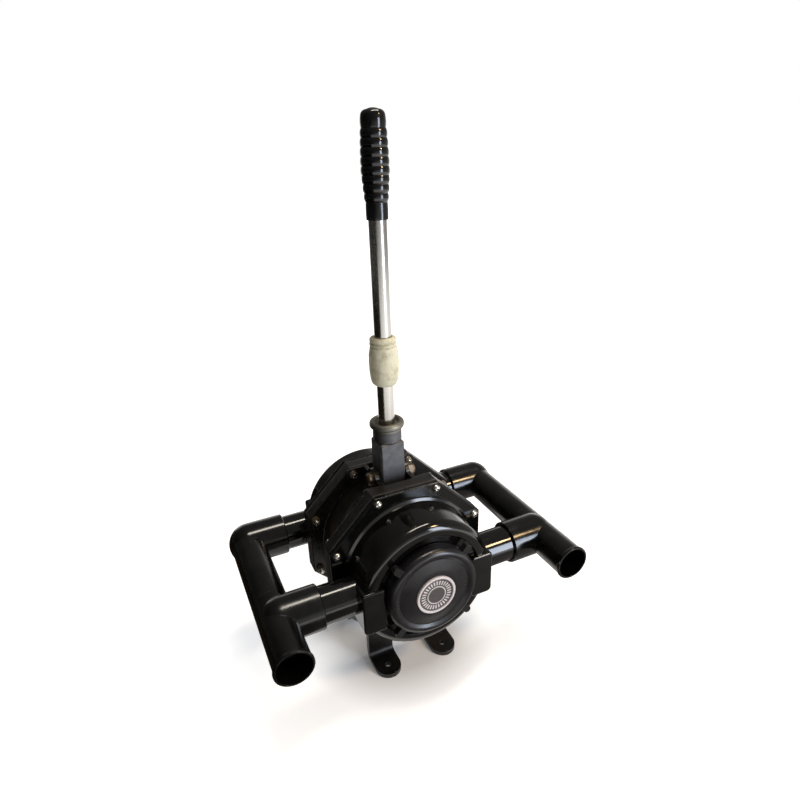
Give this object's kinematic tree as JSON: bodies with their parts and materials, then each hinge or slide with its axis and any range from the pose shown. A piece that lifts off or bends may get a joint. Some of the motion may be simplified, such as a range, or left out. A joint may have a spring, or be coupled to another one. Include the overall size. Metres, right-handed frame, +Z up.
{
  "type": "manual bilge pump",
  "caption": "Manual double-acting diaphragm bilge pump on feet: back-to-back octagonal heads, side pipes and an upright rocking lever with a ribbed grip.",
  "frame": {"origin": "middle of the four foot holes, on the mounting plane under the feet", "axes": "+Z up along the lever, +X along the lever's pivot bolt, +Y along the push rod towards the rear head; the pipes open towards -Y"},
  "size_m": [0.458, 0.3143, 0.766],
  "materials": {
    "bowl_nylon": "moulded, satin",
    "ring_enamel": "black enamel on cast alloy",
    "cap_moulding": "moulded, satin",
    "badge_print": "printed disc, unmarked",
    "pipe_rubberised": "satin black",
    "diaphragm_rubber": "matt",
    "seal_rubber": "matt",
    "stainless": "turned",
    "fork_steel": "plate",
    "disc_alloy": "turned",
    "socket_alloy": "cast, satin",
    "collar_alloy": "turned, satin",
    "tube_alloy": "drawn",
    "sleeve_cream": "soft moulding",
    "grip_rubber": "moulded, ribbed",
    "bush_brass": "turned",
    "seat_acetal": "moulded"
  },
  "bodies": {
    "pump_frame": {"flange_nuts": "stainless", "flange_screws": "stainless", "flange_washers": "stainless", "flap_pins": "stainless", "front_badge": "badge_print", "front_bowl": "bowl_nylon", "front_cap": "cap_moulding", "front_cap_gasket": "seal_rubber", "front_clamp_ring": "ring_enamel", "front_diaphragm": "diaphragm_rubber", "front_inlet_seat": "seat_acetal", "front_outlet_seat": "seat_acetal", "hose_spigots": "bowl_nylon", "inlet_elbow": "pipe_rubberised", "inlet_link_pipe": "pipe_rubberised", "inlet_tee": "pipe_rubberised", "left_cheek": "ring_enamel", "outlet_elbow": "pipe_rubberised", "outlet_link_pipe": "pipe_rubberised", "outlet_tee": "pipe_rubberised", "pivot_bolt": "stainless", "pivot_nut": "stainless", "pivot_washers": "stainless", "rear_bowl": "bowl_nylon", "rear_cap": "cap_moulding", "rear_cap_gasket": "seal_rubber", "rear_clamp_ring": "ring_enamel", "rear_diaphragm": "diaphragm_rubber", "rear_inlet_seat": "seat_acetal", "rear_outlet_seat": "seat_acetal", "right_cheek": "ring_enamel", "spigot_seals": "seal_rubber"},
    "lever": {"lever_socket": "socket_alloy", "pivot_bushes": "bush_brass", "left_fork_plate": "fork_steel", "right_fork_plate": "fork_steel", "fork_rivets": "stainless", "yoke_pin": "stainless", "yoke_clips": "stainless", "socket_collar": "collar_alloy", "tube_set_screw": "stainless", "lever_tube": "tube_alloy", "stop_sleeve": "sleeve_cream", "hand_grip": "grip_rubber"},
    "push_rod": {"yoke_block": "disc_alloy", "front_push_rod": "stainless", "rear_push_rod": "stainless", "front_inner_disc": "disc_alloy", "rear_inner_disc": "disc_alloy", "front_outer_disc": "disc_alloy", "rear_outer_disc": "disc_alloy", "rod_nuts": "stainless"},
    "front_inlet_flap_body": {"front_inlet_flap": "bush_brass", "front_inlet_flap_facing": "seal_rubber"},
    "front_outlet_flap_body": {"front_outlet_flap": "bush_brass", "front_outlet_flap_facing": "seal_rubber"},
    "rear_inlet_flap_body": {"rear_inlet_flap": "bush_brass", "rear_inlet_flap_facing": "seal_rubber"},
    "rear_outlet_flap_body": {"rear_outlet_flap": "bush_brass", "rear_outlet_flap_facing": "seal_rubber"}
  },
  "joints": [
    {"name": "lever_rock", "type": "hinge", "parent": "pump_frame", "child": "lever", "pos_m": [0, 0, 0.287], "axis": [1, 0, 0], "range_deg": [-14, 14]},
    {"name": "rod_slide", "type": "slide", "parent": "pump_frame", "child": "push_rod", "axis": [0, 1, 0], "range_m": [-0.027, 0.027], "stiffness_N_per_m": 600, "deforming": ["front_diaphragm", "rear_diaphragm"]},
    {"name": "front_inlet_flap_swing", "type": "hinge", "parent": "pump_frame", "child": "front_inlet_flap_body", "pos_m": [-0.0897, -0.0893, 0.191], "axis": [0, -1, 0], "range_deg": [0, 40]},
    {"name": "front_outlet_flap_swing", "type": "hinge", "parent": "pump_frame", "child": "front_outlet_flap_body", "pos_m": [0.1023, -0.0893, 0.191], "axis": [0, -1, 0], "range_deg": [0, 40]},
    {"name": "rear_inlet_flap_swing", "type": "hinge", "parent": "pump_frame", "child": "rear_inlet_flap_body", "pos_m": [-0.0897, 0.0893, 0.191], "axis": [0, -1, 0], "range_deg": [0, 40]},
    {"name": "rear_outlet_flap_swing", "type": "hinge", "parent": "pump_frame", "child": "rear_outlet_flap_body", "pos_m": [0.1023, 0.0893, 0.191], "axis": [0, -1, 0], "range_deg": [0, 40]}
  ],
  "couplings": [
    {"joint": "rod_slide", "follows": "lever_rock", "m_per_rad": 0.11}
  ]
}
